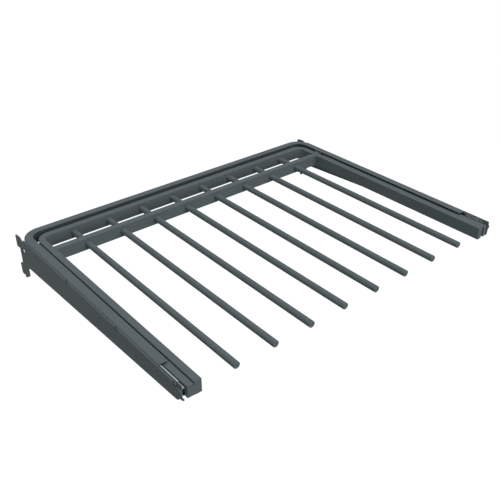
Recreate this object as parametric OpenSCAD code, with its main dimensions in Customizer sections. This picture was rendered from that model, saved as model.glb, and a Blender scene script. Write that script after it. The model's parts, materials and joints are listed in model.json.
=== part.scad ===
// Pull out trouser rack for a bay between two slotted uprights.
// X runs to the right seen from the front, Y to the back and Z up.
// The origin lies midway between the claws, on the uprights' front faces, at the height of the rod axes.

/* [Rack] */
// Width over the side walls of the outer frame
frame_w = 592; // [560:1:900]
// Depth from the uprights' front faces to the front end of the arms
reach = 435.5; // [400:0.5:600]

/* [Rods] */
// Diameter of a trouser rod
rod_d = 10; // [6:0.5:14]
// Distance from the inner face of an arm to the axis of the nearest rod
rod_side = 51.4; // [30:0.1:70]
// How far the rods stand in front of the arms
rod_proud = 0.5; // [0:0.1:5]
// Radius round the front edge of a rod
rod_edge = 0.9; // [0.2:0.1:2]
// How deep a rod enters the back of the inner frame
rod_seat = 3; // [1.5:0.1:8]
// Radial gap between a rod and its bore
rod_fit = 0.05; // [0.02:0.01:0.2]

/* [Inner frame] */
// Width of the frame tube
tube_w = 10.5; // [8:0.5:14]
// Height of the frame tube and of the crossbar
tube_h = 20.5; // [17:0.5:21]
// Wall of the frame tube, the crossbar and the carrier bars
tube_wall = 1.2; // [0.8:0.1:1.6]
// Radius along the edges of the frame tube and of the crossbar
tube_edge = 1; // [0.3:0.1:1.5]
// Radius round the outside of the two rear corners
tube_corner = 22; // [16:1:30]
// Distance from the uprights' front faces to the back of the inner frame
tube_inset = 14.7; // [14:0.1:40]
// Depth of the crossbar
crossbar_w = 10.3; // [7:0.1:13]
// Gap between the crossbar and the back of the inner frame
crossbar_gap = 35.5; // [20:0.1:80]

/* [Carrier bars] */
// Width of a carrier bar
bar_w = 9.1; // [8:0.1:12]
// Height of a carrier bar
bar_h = 18; // [14:0.5:18]
// How far the middle of a carrier bar lies below the rod axes
bar_drop = 0.6; // [0:0.1:0.8]
// Slot between a carrier bar and its arm
slot_w = 0.9; // [0.6:0.1:2.5]
// Distance from the uprights' front faces to the rear end of a carrier bar
bar_rear = 77; // [70:1:120]
// Radius along the edges of a carrier bar
bar_edge = 0.6; // [0.2:0.1:1.2]

/* [Front caps] */
// Thickness of a cap in front of the tube
cap_t = 3; // [2.5:0.1:5]
// Depth of the plugs that enter the tube and the carrier bar
plug_depth = 12; // [5:0.5:20]
// Gap round a plug
plug_fit = 0.1; // [0.05:0.01:0.3]
// Width of the groove down the right cap
groove_w = 4.8; // [3:0.1:6]
// Depth of that groove
groove_depth = 2; // [0.5:0.1:2.3]
// Height of the groove's upper end above the rod axes
groove_top = 8; // [4:0.1:9]

/* [Outer frame] */
// Thickness of the folded sheet
sheet_t = 1.2; // [0.8:0.1:1.5]
// Height of the top face above the rod axes
channel_top = 12.7; // [12:0.1:15]
// Depth of the bottom face below the rod axes
channel_bottom = 11.2; // [10.7:0.1:14]
// Width of the top flange
flange_w = 13; // [9:0.1:14]
// Width of the bottom lip
lip_w = 3.7; // [2.8:0.1:5]
// Outer radius of the two folds
fold_r = 2.2; // [1.8:0.1:2.6]
// Radius round the outside of the two rear corners, seen from above
channel_corner = 31; // [26:1:40]
// How far the back of the outer frame stands behind the uprights' front faces
channel_back = 4.9; // [0:0.1:8]
// How far the outer frame's front ends lie behind the arms' front end
channel_setback = 1; // [0:0.1:8]
// How far the top flange ends behind the arms' front end
flange_stop = 47.5; // [20:0.5:90]

/* [Bracket plates] */
// Thickness of a bracket plate
plate_t = 1.8; // [1.5:0.1:2.5]
// Height of the plate's top edge above the rod axes
plate_top = 10.9; // [9.5:0.1:11.5]
// Depth of the lower edge below the rod axes at the heel
plate_drop = 36.2; // [28:0.1:44]
// Depth of the lower edge below the rod axes at the front end
nose_drop = 12.1; // [11:0.1:20]
// Height of the top of the nose above the rod axes
nose_top = 5.6; // [3:0.1:9]
// Length of the nose from the third rivet to its tip
nose_len = 13.3; // [8:0.1:20]
// How far the tip of the nose stands in front of the arms
nose_proud = 0.8; // [0:0.1:2]
// How much further back the lower end of the nose lies
nose_rake = 5.3; // [0:0.1:8]
// Radius at the tip of the nose
nose_tip_r = 2.5; // [0.5:0.1:4]
// Radius under the nose
nose_r = 9; // [4:0.5:10]
// Length of the heel that carries the lower claw
heel_w = 17.5; // [14:0.1:30]
// Radius between the heel and the lower edge
heel_r = 8; // [4:0.5:13]
// Diameter of the bolt hole beside the upper claw
plate_hole_d = 9; // [3:0.5:10]
// Distance of that hole from the plate's rear edge
plate_hole_in = 13.2; // [10:0.1:25]
// Depth of that hole below the rod axes
plate_hole_drop = 9.2; // [2:0.1:15]

/* [Claws] */
// Distance between the two claws of a plate
claw_pitch = 50; // [44:0.5:60]
// How far a claw reaches behind the uprights' front faces
claw_reach = 10.6; // [8:0.1:14]
// Height of a claw at its root
claw_h = 21.3; // [20:0.1:30]
// Height of a claw at its tip
claw_tip_h = 20; // [14:0.1:24]
// Depth of the upper claw's lower edge below the rod axes
claw_drop = 10.4; // [6:0.1:12]
// Gap of a claw for the wall of an upright
claw_gap = 2.2; // [1.6:0.1:3]
// Height of that gap
claw_bite = 5.5; // [3:0.1:8]

/* [Ball slides] */
// Thickness of the two slide members
slide_t = 0.8; // [0.7:0.1:1]
// Diameter of a ball
ball_d = 2.6; // [2:0.1:2.8]
// Gap between a ball and its races
ball_fit = 0.1; // [0.05:0.01:0.15]
// Height of the ball centres above and below the rod axes
race_z = 4.3; // [4.2:0.1:4.8]
// Gap between the lips of the moving member and the web of the fixed member
slide_gap = 0.7; // [0.4:0.1:1]
// Distance from the uprights' front faces to the rear end of the fixed member
rail_rear = 44; // [38:1:50]
// How far the fixed member ends behind the arms' front end
rail_setback = 11; // [8:0.5:20]
// Width of the hem along the top of the fixed member
hem_w = 2.2; // [1.4:0.1:3]
// Thickness of the ball cage
cage_t = 0.3; // [0.2:0.05:0.4]
// Gap between the ball cage and the moving member
cage_fit = 0.12; // [0.08:0.01:0.15]
// Length of the ball cage
cage_len = 74.5; // [50:0.5:160]
// Balls in each of the two rows of a slide
balls_per_row = 10; // [4:1:12]
// Length of the rubber buffer
buffer_len = 15; // [6:0.5:18]

/* [Fasteners] */
// Diameter of the rivets that hold the slides
rivet_d = 3; // [2:0.1:3.4]
// Diameter of the hollow rivets in the notches of the bracket plates
frame_rivet_d = 4.4; // [4:0.1:5]
// Gap round a rivet or a screw in its hole
rivet_fit = 0.05; // [0.02:0.01:0.15]
// Diameter of the screws between a carrier bar and its arm
screw_d = 4; // [3:0.5:5]

/* [Hidden] */
$fn = 48;

// Overrun of a cut past a face
over = 1;
// Number of steps in a rounded corner of a plate outline
arc_steps = 6;
// Number of rods
rod_count = 8;
// Degrees in half a turn
half_turn = 180;

graphite = [0.25, 0.28, 0.29];
zinc = [0.75, 0.77, 0.78];
rubber = [0.04, 0.04, 0.04];

// Faces seen along X, on the right side
wall_in = frame_w / 2 - sheet_t;
race_r = ball_d / 2 + ball_fit;
race_s = slide_t + race_r;
slide_w = 2 * race_s + slide_gap + slide_t;
bar_out = wall_in - slide_w;
bar_in = bar_out - bar_w;
arm_out = bar_in - slot_w;
arm_in = arm_out - tube_w;
bar_z = -bar_drop;
rod_pitch = 2 * (arm_in - rod_side) / (rod_count - 1);

// Small sizes of the slides
race_lip = 0.3;
race_clear = 0.4;
flange_z = race_z - race_lip - race_clear;
cage_lip_t = 0.4;
cage_lip_gap = 0.25;
cage_margin = 1.5;
cage_clear = 0.18;
ball_slack = 0.06;
cage_s = slide_t + cage_fit;
flange_s = cage_s + cage_t + cage_clear;
lug_s = 3;
lug_h = 6;
lug_t = 1;
buffer_h = 11;
buffer_s = 3.2;
buffer_fit = 0.05;

// Places along Y
leg_front = -tube_inset - tube_w;
crossbar_y = leg_front - crossbar_gap - crossbar_w / 2;
arm_front = cap_t - reach;
rail_front = rail_setback - reach;
travel = -bar_rear - rail_front - cage_len - 2 * cage_margin;
cage_rear = -bar_rear - travel / 2 - cage_margin;

// Axes of the rivets that the bracket plates carry, and of the other fasteners along a slide
nose_tip_y = -reach - nose_proud;
nose_root_y = nose_tip_y + nose_len;
notch_shares = [0.377, 0.694, 1];
rail_rivet_shares = [0.06, 0.5, 0.94];
runner_rivet_shares = [0.12, 0.5, 0.88];
screw_shares = [0.06, 0.36, 0.66];

// One piece on the right side, or its mirror image on the left
module on_side(side) {
    mirror([side == "left" ? 1 : 0, 0, 0]) children();
}

// Extrusion of a section in X and Z along Y, from the rear to the front
module along_y(rear, front) {
    translate([0, rear, 0]) rotate([90, 0, 0]) linear_extrude(rear - front) children();
}

// Round bar or hole along X
module pin_x(x0, x1, y, z, d) {
    translate([x0, y, z]) rotate([0, 90, 0]) cylinder(d = d, h = x1 - x0);
}

// Rectangle with true round corners, centred
module rounded_rect(w, h, r) {
    square([w - 2 * r, h], center = true);
    square([w, h - 2 * r], center = true);
    for (x = [r - w / 2, w / 2 - r], z = [r - h / 2, h / 2 - r]) translate([x, z]) circle(r);
}

// Section of a rectangular tube, centred
module tube_section(w, h, r) {
    difference() {
        rounded_rect(w, h, r);
        square([w - 2 * tube_wall, h - 2 * tube_wall], center = true);
    }
}

// Section bent round three sides of a rectangle, open at the front. The section's outer face is at x = 0
module u_run(half_w, back, corner, front) {
    cx = half_w - corner;
    cy = back - corner;
    for (side = ["left", "right"]) on_side(side) {
        translate([half_w, 0, 0]) along_y(cy, front) children();
        translate([cx, cy, 0]) rotate_extrude(angle = 90) translate([corner, 0]) children();
    }
    translate([-cx, back, 0]) rotate([90, 0, 90]) linear_extrude(2 * cx) children();
}

// Outline with rounded corners. Each point is [x, y, radius of the corner]
function flat(p) = [p.x, p.y];
function unit(v) = v / norm(v);
function corner_arc(before, at, after, r) =
    let (u = unit(before - at), v = unit(after - at))
    let (half = acos(u * v) / 2, centre = at + unit(u + v) * r / sin(half))
    let (from = at + u * r / tan(half) - centre, side = u.x * v.y - u.y * v.x > 0 ? -1 : 1)
    let (start = atan2(from.y, from.x), sweep = side * (half_turn - 2 * half))
    [for (i = [0 : arc_steps]) let (angle = start + sweep * i / arc_steps)
        centre + r * [cos(angle), sin(angle)]];
function rounded(points) =
    let (n = len(points))
    [for (i = [0 : n - 1]) let (p = points[i], before = points[(i + n - 1) % n], after = points[(i + 1) % n])
        each p.z == 0 ? [flat(p)] : corner_arc(flat(before), flat(p), flat(after), p.z)];

// Outer frame

// Quarter of a ring where a sheet is bent
module fold_ring(r, t) {
    intersection() {
        difference() {
            circle(r);
            circle(r - t);
        }
        square(r);
    }
}

// Section of the folded channel, with the outer face of its web at x = 0
module channel_section() {
    web_h = channel_top + channel_bottom - 2 * fold_r;
    translate([-sheet_t, fold_r - channel_bottom]) square([sheet_t, web_h]);
    translate([-flange_w, channel_top - sheet_t]) square([flange_w - fold_r, sheet_t]);
    translate([-lip_w, -channel_bottom]) square([lip_w - fold_r, sheet_t]);
    translate([-fold_r, channel_top - fold_r]) fold_ring(fold_r, sheet_t);
    translate([-fold_r, fold_r - channel_bottom]) mirror([0, 1]) fold_ring(fold_r, sheet_t);
}

// Height of the rivets that sit in the notches of the bracket plates
notch_z = 7.6;
notch_w = 6;

function notch_y(share) = nose_root_y * share;
function rail_y(share) = -rail_rear + (rail_front + rail_rear) * share;
function bar_y(share) = -bar_rear + (arm_front + bar_rear) * share;

// Places of the screws along a carrier bar. The last one stands clear of the plugs in the ends
plug_clear = 5.775;

function screw_places() = concat([for (share = screw_shares) bar_y(share)], arm_front + plug_depth + plug_clear);

module outer_frame() {
    color(graphite) difference() {
        u_run(frame_w / 2, channel_back, channel_corner, channel_setback - reach) channel_section();
        for (side = ["left", "right"]) on_side(side) {
            translate([wall_in - flange_w, -reach - over, 0])
                cube([flange_w, flange_stop + over, channel_top + over]);
            for (share = notch_shares)
                pin_x(wall_in - over, frame_w / 2 + over, notch_y(share), notch_z,
                    frame_rivet_d + 2 * rivet_fit);
            for (share = rail_rivet_shares)
                pin_x(wall_in - over, frame_w / 2 + over, rail_y(share), 0, rivet_d + 2 * rivet_fit);
        }
    }
}

// Rivets of the outer frame whose hollow heads sit in the plates' notches
frame_rivet_head_d = 5.7;
frame_rivet_head_t = 1.6;
frame_rivet_bore_d = 3.4;
frame_rivet_floor = 0.4;

module frame_rivet() {
    head_x = frame_w / 2 + frame_rivet_head_t;
    difference() {
        union() {
            pin_x(wall_in, head_x, 0, 0, frame_rivet_d);
            pin_x(frame_w / 2, head_x, 0, 0, frame_rivet_head_d);
        }
        pin_x(wall_in + frame_rivet_floor, head_x + over, 0, 0, frame_rivet_bore_d);
    }
}

module frame_rivets(side) {
    color(graphite) on_side(side) for (share = notch_shares)
        translate([0, notch_y(share), notch_z]) frame_rivet();
}

// Bracket plates

// Small sizes of a plate and its claws
heel_foot_below = 5.4;
heel_toe_below = 4;
heel_foot_r = 3.4;
heel_toe_r = 3;
claw_r = 1.8;
claw_root_r = 0.9;

// Dip in the top edge beside the upper claw
dip_rear = 6;
dip_floor_rear = 12.8;
dip_floor_front = 15.8;
dip_front = 17.2;
dip_z = 4.9;
dip_r = 1.4;

module claw(drop) {
    top = claw_h - drop;
    polygon(rounded([
        [-over, claw_bite - drop, 0], [claw_gap, claw_bite - drop, 0],
        [claw_gap, -drop, claw_root_r], [claw_reach, -drop, claw_r],
        [claw_reach, claw_tip_h - drop, claw_r], [over, top, 0], [-over, top, 0]
    ]));
}

module dip() {
    polygon(rounded([
        [-dip_rear, plate_top + over, 0], [-dip_rear, plate_top, 0], [-dip_floor_rear, dip_z, dip_r],
        [-dip_floor_front, dip_z, dip_r], [-dip_front, plate_top, 0], [-dip_front, plate_top + over, 0]
    ]));
}

module plate_outline() {
    difference() {
        union() {
            polygon(rounded([
                [0, plate_top, 0],
                [nose_root_y, plate_top, 0],
                [nose_root_y, nose_top, 0],
                [nose_tip_y, nose_top, nose_tip_r],
                [nose_tip_y + nose_rake, -nose_drop, nose_r],
                [-heel_w, -plate_drop, heel_r],
                [-heel_w, -claw_pitch - heel_toe_below, heel_toe_r],
                [0, -claw_pitch - claw_drop - heel_foot_below, heel_foot_r]
            ]));
            claw(claw_drop);
            claw(claw_drop + claw_pitch);
        }
        dip();
        for (share = notch_shares) translate([notch_y(share), notch_z]) {
            circle(d = notch_w);
            translate([-notch_w / 2, 0]) square([notch_w, plate_top - notch_z + over]);
        }
        translate([-plate_hole_in, -plate_hole_drop]) circle(d = plate_hole_d);
    }
}

module bracket(side) {
    color(graphite) on_side(side) translate([frame_w / 2, 0, 0]) rotate([90, 0, 90])
        linear_extrude(plate_t) plate_outline();
}

// Ball slides. Their sections are drawn with s from the carrier bar outwards and z upwards

module from_bar(side) {
    on_side(side) translate([bar_out, 0, 0]) children();
}

module from_wall(side) {
    on_side(side) translate([wall_in, 0, 0]) mirror([1, 0, 0]) children();
}

module race_ring() {
    translate([race_s, race_z]) difference() {
        circle(race_r + slide_t);
        circle(race_r);
    }
}

module both_halves() {
    children();
    mirror([0, 1]) children();
}

// Moving member: a channel on the carrier bar whose lips wrap round the balls from outside
module runner_section() {
    lip_z = race_z - race_lip;
    both_halves() {
        square([slide_t, race_z]);
        intersection() {
            race_ring();
            translate([0, lip_z]) square([2 * race_s, race_r + slide_t + race_lip]);
        }
    }
}

// Fixed member: flanges that cradle the balls from inside
module rail_flanges_section() {
    both_halves() {
        intersection() {
            race_ring();
            translate([flange_s, 0]) square([slide_w - flange_s, flange_z]);
        }
        difference() {
            translate([race_s, flange_z - slide_t]) square([slide_w - race_s, slide_t]);
            translate([race_s, race_z]) circle(race_r);
        }
    }
}

// Web of the fixed member with the hem along its top, drawn from the wall inwards
hem_gap = 0.2;
hem_bend = 0.1;

module rail_web_section() {
    hem_z = channel_top - sheet_t - hem_gap;
    hem_r = max(fold_r - sheet_t, slide_t + hem_bend);
    foot = race_z + race_s;
    translate([0, -foot]) square([slide_t, foot + hem_z - hem_r]);
    translate([hem_r, hem_z - slide_t]) square([hem_w - hem_r, slide_t]);
    translate([hem_r, hem_z - hem_r]) mirror([1, 0]) fold_ring(hem_r, slide_t);
}

// Countersunk rivet from the inner face of the fixed member to the outer face of the channel
rail_rivet_head_d = 5.2;

module rail_rivet(gap) {
    rotate([0, 90, 0]) {
        cylinder(d = rivet_d + 2 * gap, h = sheet_t);
        translate([0, 0, -slide_t])
            cylinder(d1 = rail_rivet_head_d + 2 * gap, d2 = rivet_d + 2 * gap, h = slide_t);
    }
}

module rail(side) {
    lug_y = -bar_rear + buffer_fit + buffer_len + buffer_fit;
    color(zinc) difference() {
        union() {
            from_bar(side) along_y(-bar_rear, rail_front) rail_flanges_section();
            from_wall(side) along_y(-rail_rear, rail_front) rail_web_section();
            from_wall(side) translate([slide_t - over, lug_y, -lug_h / 2])
                cube([lug_s + over, lug_t, lug_h]);
        }
        on_side(side) for (share = rail_rivet_shares)
            translate([wall_in, rail_y(share), 0]) rail_rivet(rivet_fit);
    }
}

module rail_rivets(side) {
    color(zinc) on_side(side) for (share = rail_rivet_shares)
        translate([wall_in, rail_y(share), 0]) rail_rivet(0);
}

// Rubber buffer between the lug of the fixed member and the rear end of the moving one
module buffer(side) {
    color(rubber) from_wall(side)
        translate([slide_t + buffer_fit, -bar_rear + buffer_fit, -buffer_h / 2])
            cube([buffer_s, buffer_len, buffer_h]);
}

// Countersunk rivet from the inner face of the moving member into the hollow of the carrier bar
runner_rivet_d = 2.6;
runner_rivet_head_d = 4.6;
runner_rivet_tail_t = 0.6;

function runner_y(share) = -bar_rear + (bar_rear + arm_front) * share;

module runner_rivet(gap) {
    translate([bar_out, 0, 0]) rotate([0, 90, 0])
        cylinder(d1 = runner_rivet_d + 2 * gap, d2 = runner_rivet_head_d + 2 * gap, h = slide_t);
    pin_x(bar_out - tube_wall, bar_out, 0, 0, runner_rivet_d + 2 * gap);
}

module place_runner_rivets(side) {
    on_side(side) for (share = runner_rivet_shares) translate([0, runner_y(share), 0]) children();
}

module runner(side) {
    color(zinc) difference() {
        from_bar(side) along_y(-bar_rear, arm_front) runner_section();
        place_runner_rivets(side) runner_rivet(rivet_fit);
    }
}

module runner_rivets(side) {
    tail_x = bar_out - tube_wall;
    color(zinc) place_runner_rivets(side) {
        runner_rivet(0);
        pin_x(tail_x - runner_rivet_tail_t, tail_x, 0, 0, runner_rivet_head_d);
    }
}

// Ball cage: a thin channel along the moving member with a pocket for each ball
function ball_y(i) = cage_rear - cage_len * (2 * i + 1) / (2 * balls_per_row);

module cage_section() {
    both_halves() {
        translate([cage_s, 0]) square([cage_t, race_z + cage_lip_t / 2]);
        translate([cage_s, race_z - cage_lip_t / 2])
            square([race_s + race_r - cage_lip_gap - cage_s, cage_lip_t]);
    }
}

module cage(side) {
    pocket_d = ball_d + 2 * ball_slack;
    color(zinc) from_bar(side) difference() {
        along_y(cage_rear, cage_rear - cage_len) cage_section();
        for (i = [0 : balls_per_row - 1], z = [-race_z, race_z])
            translate([race_s, ball_y(i), z - ball_d / 2]) cylinder(d = pocket_d, h = ball_d);
    }
}

module balls(side) {
    color(zinc) from_bar(side) for (i = [0 : balls_per_row - 1], z = [-race_z, race_z])
        translate([race_s, ball_y(i), z]) sphere(d = ball_d);
}

// Inner frame

module place_screws(side) {
    on_side(side) for (y = screw_places()) translate([0, y, bar_z]) children();
}

module inner_frame() {
    screw_hole_d = screw_d + 2 * rivet_fit;
    color(graphite) difference() {
        u_run(arm_out, -tube_inset, tube_corner, arm_front)
            translate([-tube_w / 2, 0]) tube_section(tube_w, tube_h, tube_edge);
        for (i = [1 : rod_count]) translate([rod_x(i), leg_front - over, 0])
            rotate([-90, 0, 0]) cylinder(d = rod_d + 2 * rod_fit, h = over + tube_wall + over);
        for (side = ["left", "right"]) place_screws(side)
            pin_x(arm_out - tube_wall - over, arm_out + over, 0, 0, screw_hole_d);
    }
}

function rod_x(i) = rod_pitch * (i - (rod_count + 1) / 2);

module crossbar() {
    color(graphite) difference() {
        translate([-arm_in, crossbar_y, 0]) rotate([90, 0, 90]) linear_extrude(2 * arm_in)
            tube_section(crossbar_w, tube_h, tube_edge);
        for (i = [1 : rod_count]) translate([rod_x(i), crossbar_y - crossbar_w / 2 - over, 0])
            rotate([-90, 0, 0]) cylinder(d = rod_d + 2 * rod_fit, h = crossbar_w + 2 * over);
    }
}

module rod(i) {
    front = -reach - rod_proud;
    rod_r = rod_d / 2;
    length = leg_front + rod_seat - front;
    color(graphite) translate([rod_x(i), front, 0]) rotate([-90, 0, 0]) rotate_extrude() {
        square([rod_r - rod_edge, length]);
        translate([0, rod_edge]) square([rod_r, length - rod_edge]);
        intersection() {
            translate([rod_r - rod_edge, rod_edge]) circle(rod_edge);
            square([rod_r, length]);
        }
    }
}

// Carrier bars and the screws that hold them to the arms
screw_head_d = 7;
screw_head_t = 2.4;
driver_d = 7.6;
spacer_d = 10;
nut_d = 8.1;
nut_t = 3.2;
nut_hole_fit = 0.1;
screw_end = 0.4;

module carrier_bar(side) {
    color(graphite) difference() {
        on_side(side) translate([bar_in + bar_w / 2, 0, bar_z]) along_y(-bar_rear, arm_front)
            tube_section(bar_w, bar_h, bar_edge);
        place_screws(side) {
            pin_x(bar_in - over, bar_in + tube_wall + over, 0, 0, screw_d + 2 * rivet_fit);
            pin_x(bar_out - tube_wall - over, bar_out + over, 0, 0, driver_d);
        }
        place_runner_rivets(side)
            pin_x(bar_out - tube_wall - over, bar_out + over, 0, 0, runner_rivet_d + 2 * rivet_fit);
    }
}

module spacers(side) {
    color(zinc) place_screws(side) difference() {
        pin_x(arm_out, bar_in, 0, 0, spacer_d);
        pin_x(arm_out - over, bar_in + over, 0, 0, screw_d + 2 * rivet_fit);
    }
}

module screws(side) {
    head_x = bar_in + tube_wall;
    color(zinc) place_screws(side) {
        pin_x(arm_out - tube_wall - nut_t - screw_end, head_x, 0, 0, screw_d);
        pin_x(head_x, head_x + screw_head_t, 0, 0, screw_head_d);
    }
}

module nuts(side) {
    color(zinc) place_screws(side) difference() {
        translate([arm_out - tube_wall - nut_t, 0, 0]) rotate([0, 90, 0])
            cylinder(d = nut_d, h = nut_t, $fn = 6);
        pin_x(arm_out - tube_wall - nut_t - over, arm_out, 0, 0, screw_d + 2 * nut_hole_fit);
    }
}

// Front caps

// Depth below the rod axes at which the left cap starts to close the slot
slot_stop_z = 4;

module front_cap(side) {
    bar_top = bar_z + bar_h / 2;
    bar_bottom = bar_z - bar_h / 2;
    inset = tube_wall + plug_fit;
    color(graphite) on_side(side) difference() {
        union() {
            translate([arm_out - tube_w / 2, 0, 0]) {
                along_y(arm_front, -reach) rounded_rect(tube_w, tube_h, tube_edge);
                along_y(arm_front + plug_depth, arm_front)
                    square([tube_w - 2 * inset, tube_h - 2 * inset], center = true);
            }
            translate([bar_in + bar_w / 2, 0, bar_z]) {
                along_y(arm_front, -reach) rounded_rect(bar_w, bar_h, bar_edge);
                along_y(arm_front + plug_depth, arm_front)
                    square([bar_w - 2 * inset, bar_h - 2 * inset], center = true);
            }
            translate([arm_out - over, -reach, bar_bottom])
                cube([slot_w + 2 * over, cap_t, slot_stop_z - bar_bottom]);
        }
        if (side == "right") translate([bar_in - groove_w / 2, -reach - over, -tube_h])
            cube([groove_w, groove_depth + over, tube_h + groove_top]);
    }
}

outer_frame();
bracket("left");  // left_bracket
bracket("right");  // right_bracket
frame_rivets("left");  // left_frame_rivets
frame_rivets("right");  // right_frame_rivets
rail("left");  // left_rail
rail("right");  // right_rail
rail_rivets("left");  // left_rail_rivets
rail_rivets("right");  // right_rail_rivets
buffer("left");  // left_buffer
buffer("right");  // right_buffer
inner_frame();
crossbar();
rod(1);  // rod_1
rod(2);  // rod_2
rod(3);  // rod_3
rod(4);  // rod_4
rod(5);  // rod_5
rod(6);  // rod_6
rod(7);  // rod_7
rod(8);  // rod_8
carrier_bar("left");  // left_carrier_bar
carrier_bar("right");  // right_carrier_bar
spacers("left");  // left_spacers
spacers("right");  // right_spacers
screws("left");  // left_screws
screws("right");  // right_screws
nuts("left");  // left_nuts
nuts("right");  // right_nuts
front_cap("left");  // left_front_cap
front_cap("right");  // right_front_cap
runner("left");  // left_runner
runner("right");  // right_runner
runner_rivets("left");  // left_runner_rivets
runner_rivets("right");  // right_runner_rivets
cage("left");  // left_cage
cage("right");  // right_cage
balls("left");  // left_balls
balls("right");  // right_balls
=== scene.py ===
"""Looks of the pull out trouser rack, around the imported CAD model."""
import json
import math

import bmesh
import bpy
from mathutils import Matrix, Vector

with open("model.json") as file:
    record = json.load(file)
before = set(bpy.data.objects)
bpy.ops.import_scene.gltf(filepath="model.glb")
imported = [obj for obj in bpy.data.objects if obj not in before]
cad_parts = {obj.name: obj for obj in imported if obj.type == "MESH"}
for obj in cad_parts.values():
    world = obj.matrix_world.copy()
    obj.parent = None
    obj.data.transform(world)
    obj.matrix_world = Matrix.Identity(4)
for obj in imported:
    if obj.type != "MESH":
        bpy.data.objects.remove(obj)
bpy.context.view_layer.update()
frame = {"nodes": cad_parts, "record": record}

# Camera of the photograph: place in metres, angles in degrees, lens and sensor in millimetres
CAMERA_PLACE = Vector((-0.6069, -0.9315, 0.5491))
CAMERA_AZIMUTH = -39.60
CAMERA_ELEVATION = 31.594
CAMERA_LENS_MM = 49.906
SENSOR_MM = 36.0

# Lamps: place and size in metres, power in watts. All of them point at the middle of the rack
AIM = Vector((0.0, -0.2, 0.0))
LAMPS = {
    "overhead": (Vector((-0.45, -0.5, 2.6)), 2.2, 58.0),
    "front": (Vector((0.2, -3.2, 1.2)), 2.0, 59.0),
}

# World: strength of the even light on the rack, and the white that the camera and gloss see
WORLD_LEVEL = 0.31
WHITE = (1.0, 1.0, 1.0, 1.0)

# Floor far below the rack, which hangs on the uprights of a wardrobe: height and radius in metres
FLOOR_Z = -0.9
FLOOR_RADIUS = 9.0
FLOOR_SIDES = 96
FLOOR_COLOUR = (0.45, 0.45, 0.45, 1.0)

# What the camera and gloss see of the floor: share of an even glow in it, and the glow's strength
FLOOR_GLOW_SHARE = 0.8
FLOOR_GLOW = 1.23

# Radius in metres that sharp sheet edges seem rounded by
EDGE_RADIUS = 0.0003
EDGE_SAMPLES = 6

# In the finishes below colours are linear, a noise is its features per metre and its detail, and a relief
# is its strength and its height in metres. These two values of a noise count as its ends
NOISE_ENDS = (0.3, 0.7)

# Powder coat
COAT = (0.088, 0.108, 0.114)
COAT_SPECULAR = 0.05
COAT_ROUGHNESS = (0.50, 0.60)
COAT_GLOSS = (320.0, 3.0)
FLAKES = (5200.0, 1.0)
FLAKE_ENDS = (0.35, 0.65)
FLAKE_LEVELS = (0.93, 1.07)
CLOUDS = (14.0, 3.0)
CLOUD_TONES = ((0.965, 0.968, 0.97), (1.03, 1.03, 1.03))
PEEL = (900.0, 2.5)
PEEL_RELIEF = (0.35, 0.00006)

# Zinc plate, with drawing lines that run along Y. Their features per metre are given along X, Y and Z
ZINC = (0.40, 0.42, 0.43)
ZINC_ROUGHNESS = (0.17, 0.26)
BLOOM = (55.0, 3.0)
BLOOM_LEVELS = (0.95, 1.06)
LINES = (1.0, 2.0, (1500.0, 25.0, 1500.0))
LINE_RELIEF = (0.1, 0.00001)

# Steel of the balls under a film of grease
STEEL = (0.72, 0.72, 0.73, 1.0)
STEEL_ROUGHNESS = (0.05, 0.18)
GREASE = (700.0, 2.0)

# Rubber of the buffers
RUBBER_TONES = ((0.010, 0.010, 0.010), (0.020, 0.020, 0.021))
RUBBER_ROUGHNESS = (0.62, 0.8)
GRAIN = (1800.0, 3.0)
GRAIN_RELIEF = (0.5, 0.00005)

# Range of a value that runs from nothing to all
WHOLE = (0.0, 1.0)


def aim_matrix(place, target):
    """Matrix that puts an object at place with its -Z axis at target."""
    turn = (target - place).to_track_quat("-Z", "Y")
    return Matrix.Translation(place) @ turn.to_matrix().to_4x4()


def make_camera():
    """Camera at the photograph's place, turned by its azimuth and elevation, level from side to side."""
    azimuth = math.radians(CAMERA_AZIMUTH)
    elevation = math.radians(CAMERA_ELEVATION)
    level = math.cos(elevation)
    right = Vector((math.cos(azimuth), math.sin(azimuth), 0.0))
    back = Vector((math.sin(azimuth) * level, -math.cos(azimuth) * level, math.sin(elevation)))
    up = back.cross(right)
    camera = bpy.data.objects.new("camera", bpy.data.cameras.new("camera"))
    camera.data.sensor_fit = "HORIZONTAL"
    camera.data.sensor_width = SENSOR_MM
    camera.data.lens = CAMERA_LENS_MM
    turn = Matrix((right, up, back)).transposed().to_4x4()
    camera.matrix_world = Matrix.Translation(CAMERA_PLACE) @ turn
    bpy.context.collection.objects.link(camera)
    bpy.context.scene.camera = camera


def make_lamps():
    """Soft square lamps above and in front of the rack."""
    for name, (place, size, power) in LAMPS.items():
        lamp = bpy.data.lights.new(name, "AREA")
        lamp.size = size
        lamp.energy = power
        piece = bpy.data.objects.new(name, lamp)
        piece.matrix_world = aim_matrix(place, AIM)
        bpy.context.collection.objects.link(piece)


class Nodes:
    """A material's or world's node tree, with short calls to add and join nodes."""

    def __init__(self, owner):
        owner.use_nodes = True
        self.tree = owner.node_tree
        self.tree.nodes.clear()

    def add(self, kind, **settings):
        """Adds a node and gives its settings their values."""
        node = self.tree.nodes.new(kind)
        for key, value in settings.items():
            setattr(node, key, value)
        return node

    def join(self, source, out, target, into):
        """Joins an output of one node to an input of another, each given by name or number."""
        self.tree.links.new(source.outputs[out], target.inputs[into])


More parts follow.
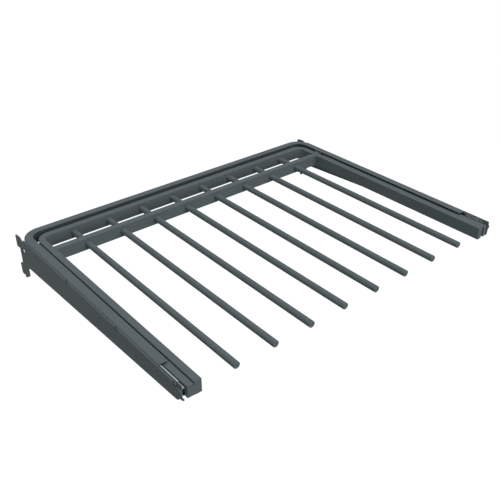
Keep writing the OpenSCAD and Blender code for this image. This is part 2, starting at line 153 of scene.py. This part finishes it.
def seen_directly(nodes):
    """Value that is 1 for what the camera sees, straight or through gloss or glass, and 0 for light."""
    path = nodes.add("ShaderNodeLightPath")
    straight_or_gloss = nodes.add("ShaderNodeMath", operation="MAXIMUM")
    seen = nodes.add("ShaderNodeMath", operation="MAXIMUM")
    nodes.join(path, "Is Camera Ray", straight_or_gloss, 0)
    nodes.join(path, "Is Glossy Ray", straight_or_gloss, 1)
    nodes.join(straight_or_gloss, 0, seen, 0)
    nodes.join(path, "Is Transmission Ray", seen, 1)
    return seen


def make_world():
    """World that lights the rack evenly and shows white to the camera."""
    world = bpy.data.worlds.new("studio")
    bpy.context.scene.world = world
    nodes = Nodes(world)
    light = nodes.add("ShaderNodeBackground")
    light.inputs["Strength"].default_value = WORLD_LEVEL
    white = nodes.add("ShaderNodeBackground")
    white.inputs["Color"].default_value = WHITE
    mix = nodes.add("ShaderNodeMixShader")
    out = nodes.add("ShaderNodeOutputWorld")
    nodes.join(seen_directly(nodes), 0, mix, 0)
    nodes.join(light, 0, mix, 1)
    nodes.join(white, 0, mix, 2)
    nodes.join(mix, 0, out, 0)


def floor_material():
    """Pale floor that is seen as an even white with a faint share of its light and shadow."""
    material = bpy.data.materials.new("floor")
    nodes = Nodes(material)
    diffuse = nodes.add("ShaderNodeBsdfDiffuse")
    diffuse.inputs["Color"].default_value = FLOOR_COLOUR
    glow = nodes.add("ShaderNodeEmission")
    glow.inputs["Strength"].default_value = FLOOR_GLOW
    share = nodes.add("ShaderNodeMath", operation="MULTIPLY")
    share.inputs[1].default_value = FLOOR_GLOW_SHARE
    both = nodes.add("ShaderNodeMixShader")
    out = nodes.add("ShaderNodeOutputMaterial")
    nodes.join(seen_directly(nodes), 0, share, 0)
    nodes.join(share, 0, both, 0)
    nodes.join(diffuse, 0, both, 1)
    nodes.join(glow, 0, both, 2)
    nodes.join(both, 0, out, 0)
    return material


def make_floor():
    """Wide round floor, which is stage and no part of the rack."""
    mesh = bpy.data.meshes.new("floor")
    shape = bmesh.new()
    bmesh.ops.create_circle(shape, cap_ends=True, radius=FLOOR_RADIUS, segments=FLOOR_SIDES)
    shape.to_mesh(mesh)
    shape.free()
    mesh.transform(Matrix.Translation((0.0, 0.0, FLOOR_Z)))
    mesh.materials.append(floor_material())
    floor = bpy.data.objects.new("floor", mesh)
    bpy.context.collection.objects.link(floor)


def noise(nodes, place, scale, detail, stretch=(1.0, 1.0, 1.0)):
    """Noise over the rack's own coordinates. Scale times stretch is about its features per metre."""
    sized = nodes.add("ShaderNodeMapping")
    sized.inputs["Scale"].default_value = stretch
    field = nodes.add("ShaderNodeTexNoise")
    field.inputs["Scale"].default_value = scale
    field.inputs["Detail"].default_value = detail
    nodes.join(place, "Object", sized, "Vector")
    nodes.join(sized, 0, field, "Vector")
    return field


def spread(nodes, field, target, ends=NOISE_ENDS):
    """Spreads a field, whose values lie between the two ends, over the target range."""
    ranged = nodes.add("ShaderNodeMapRange")
    ranged.inputs["From Min"].default_value = ends[0]
    ranged.inputs["From Max"].default_value = ends[1]
    ranged.inputs["To Min"].default_value = target[0]
    ranged.inputs["To Max"].default_value = target[1]
    nodes.join(field, 0, ranged, "Value")
    return ranged


def mixed(nodes, factor, tones):
    """Mixes two tones, the dark one where the factor is 0 and the light one where it is 1."""
    dark, light = tones
    mix = nodes.add("ShaderNodeMix", data_type="RGBA")
    mix.inputs["A"].default_value = (*dark, 1.0)
    mix.inputs["B"].default_value = (*light, 1.0)
    nodes.join(factor, 0, mix, "Factor")
    return mix


def shades(colour, levels):
    """The colour at each of the levels, where 1 is the colour itself."""
    return [tuple(channel * level for channel in colour) for level in levels]


def round_edges(nodes):
    """Normal that rounds sharp sheet edges off."""
    edge = nodes.add("ShaderNodeBevel", samples=EDGE_SAMPLES)
    edge.inputs["Radius"].default_value = EDGE_RADIUS
    return edge


def bump(nodes, field, relief):
    """Normal that follows a field as its relief of heights."""
    strength, height = relief
    bumped = nodes.add("ShaderNodeBump")
    bumped.inputs["Strength"].default_value = strength
    bumped.inputs["Distance"].default_value = height
    nodes.join(field, 0, bumped, "Height")
    return bumped


def new_surface(name):
    """A new material, its nodes, its coordinates and its surface shader, joined to the output."""
    material = bpy.data.materials.new(name)
    nodes = Nodes(material)
    place = nodes.add("ShaderNodeTexCoord")
    surface = nodes.add("ShaderNodeBsdfPrincipled")
    out = nodes.add("ShaderNodeOutputMaterial")
    nodes.join(surface, 0, out, 0)
    return material, nodes, place, surface


def powder_coat():
    """Satin graphite powder coat: fine orange peel, tiny flakes and faint clouds in its tone."""
    material, nodes, place, surface = new_surface("powder_coat")
    surface.inputs["Specular IOR Level"].default_value = COAT_SPECULAR

    flakes = spread(nodes, noise(nodes, place, *FLAKES), WHOLE, FLAKE_ENDS)
    speckled = mixed(nodes, flakes, shades(COAT, FLAKE_LEVELS))
    clouds = spread(nodes, noise(nodes, place, *CLOUDS), WHOLE)
    clouded = mixed(nodes, clouds, CLOUD_TONES)
    tone = nodes.add("ShaderNodeMix", data_type="RGBA", blend_type="MULTIPLY")
    tone.inputs["Factor"].default_value = 1.0
    nodes.join(speckled, "Result", tone, "A")
    nodes.join(clouded, "Result", tone, "B")
    nodes.join(tone, "Result", surface, "Base Color")

    gloss = spread(nodes, noise(nodes, place, *COAT_GLOSS), COAT_ROUGHNESS)
    nodes.join(gloss, 0, surface, "Roughness")

    peel = bump(nodes, noise(nodes, place, *PEEL), PEEL_RELIEF)
    nodes.join(round_edges(nodes), 0, peel, "Normal")
    nodes.join(peel, 0, surface, "Normal")
    return material


def bright_zinc():
    """Bright zinc plate with fine drawing lines along the slides and a faint bloom in its tone."""
    material, nodes, place, surface = new_surface("bright_zinc")
    surface.inputs["Metallic"].default_value = 1.0

    bloom = spread(nodes, noise(nodes, place, *BLOOM), WHOLE)
    tone = mixed(nodes, bloom, shades(ZINC, BLOOM_LEVELS))
    nodes.join(tone, "Result", surface, "Base Color")

    lines = noise(nodes, place, *LINES)
    nodes.join(spread(nodes, lines, ZINC_ROUGHNESS), 0, surface, "Roughness")
    drawn = bump(nodes, lines, LINE_RELIEF)
    nodes.join(round_edges(nodes), 0, drawn, "Normal")
    nodes.join(drawn, 0, surface, "Normal")
    return material


def ball_steel():
    """Polished and lightly greased steel."""
    material, nodes, place, surface = new_surface("ball_steel")
    surface.inputs["Metallic"].default_value = 1.0
    surface.inputs["Base Color"].default_value = STEEL
    film = spread(nodes, noise(nodes, place, *GREASE), STEEL_ROUGHNESS)
    nodes.join(film, 0, surface, "Roughness")
    return material


def black_rubber():
    """Matt moulded rubber with a fine grain."""
    material, nodes, place, surface = new_surface("black_rubber")
    grain = spread(nodes, noise(nodes, place, *GRAIN), WHOLE)
    nodes.join(mixed(nodes, grain, RUBBER_TONES), "Result", surface, "Base Color")
    nodes.join(spread(nodes, grain, RUBBER_ROUGHNESS, WHOLE), 0, surface, "Roughness")
    nodes.join(bump(nodes, grain, GRAIN_RELIEF), 0, surface, "Normal")
    return material


def dress_nodes():
    """Gives every CAD node the material of its slot in the record."""
    finishes = {
        "powder_coat": powder_coat(),
        "zinc": bright_zinc(),
        "ball_steel": ball_steel(),
        "rubber": black_rubber(),
    }
    for part in frame["record"]["subparts"]:
        piece = frame["nodes"][part["node"]]
        for held in piece.material_slots:
            held.material = finishes[part["material_slot"]]


make_camera()
make_lamps()
make_world()
make_floor()
dress_nodes()
bpy.context.scene.view_settings.view_transform = "Standard"
